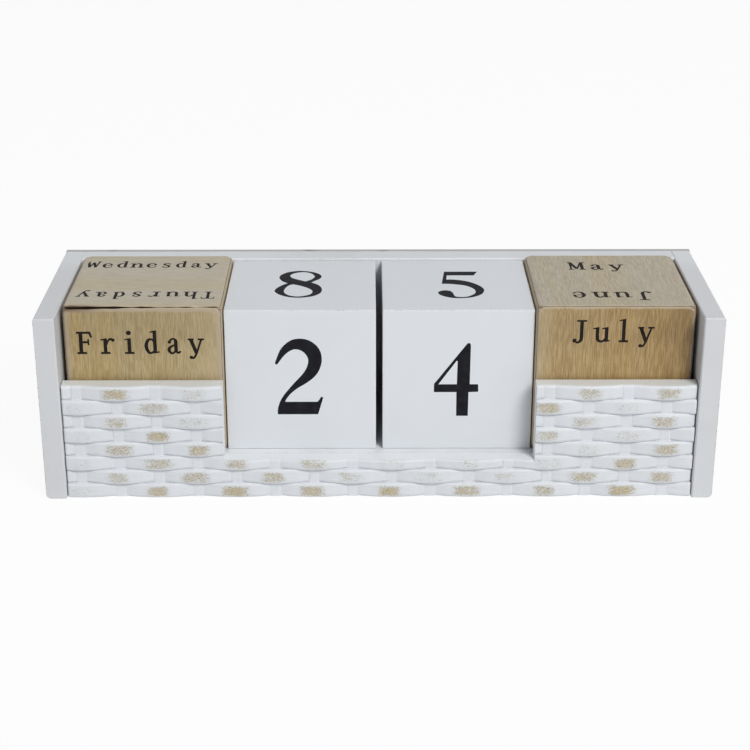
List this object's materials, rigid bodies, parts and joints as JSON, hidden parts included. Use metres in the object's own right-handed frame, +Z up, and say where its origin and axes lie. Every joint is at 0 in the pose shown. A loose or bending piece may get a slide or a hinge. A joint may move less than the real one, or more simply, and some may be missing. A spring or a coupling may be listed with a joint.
{
  "type": "block calendar",
  "caption": "Perpetual desk calendar: open-topped painted case with a woven stepped front, holding loose word blocks and number cubes that lift out to be turned.",
  "frame": {"origin": "on the table, under the middle of the case's width and depth", "axes": "+X along the width to the viewer's right, +Y towards the back, +Z up"},
  "size_m": [0.268, 0.085, 0.0789],
  "materials": {
    "white_paint": "matt white paint on board",
    "raw_board": "grey-brown backing board, bare edge",
    "weave_paint": "matt white paint rubbed through to bare board on the crowns",
    "cube_paint": "matt white paint with printed digits",
    "plate_wood": "bare pale wood with printed words",
    "core_wood": "bare wood"
  },
  "bodies": {
    "case": {"left_side_panel": "white_paint", "right_side_panel": "white_paint", "back_panel": "white_paint", "backing_board": "raw_board", "tray_floor": "white_paint", "woven_front": "weave_paint"},
    "weekday_block": {"weekday_core": "core_wood", "weekday_top_plate": "plate_wood", "weekday_bottom_plate": "plate_wood", "weekday_front_plate": "plate_wood", "weekday_back_plate": "plate_wood", "weekday_left_plate": "plate_wood", "weekday_right_plate": "plate_wood"},
    "tens_block": {"tens_cube": "cube_paint"},
    "units_block": {"units_cube": "cube_paint"},
    "month_block": {"month_core": "core_wood", "month_top_plate": "plate_wood", "month_bottom_plate": "plate_wood", "month_front_plate": "plate_wood", "month_back_plate": "plate_wood", "month_left_plate": "plate_wood", "month_right_plate": "plate_wood"}
  },
  "joints": [
    {"name": "weekday_lift", "type": "slide", "parent": "case", "child": "weekday_block", "axis": [0, 0, 1], "range_m": [0, 0.07]},
    {"name": "tens_lift", "type": "slide", "parent": "case", "child": "tens_block", "axis": [0, 0, 1], "range_m": [0, 0.07]},
    {"name": "units_lift", "type": "slide", "parent": "case", "child": "units_block", "axis": [0, 0, 1], "range_m": [0, 0.07]},
    {"name": "month_lift", "type": "slide", "parent": "case", "child": "month_block", "axis": [0, 0, 1], "range_m": [0, 0.07]}
  ]
}
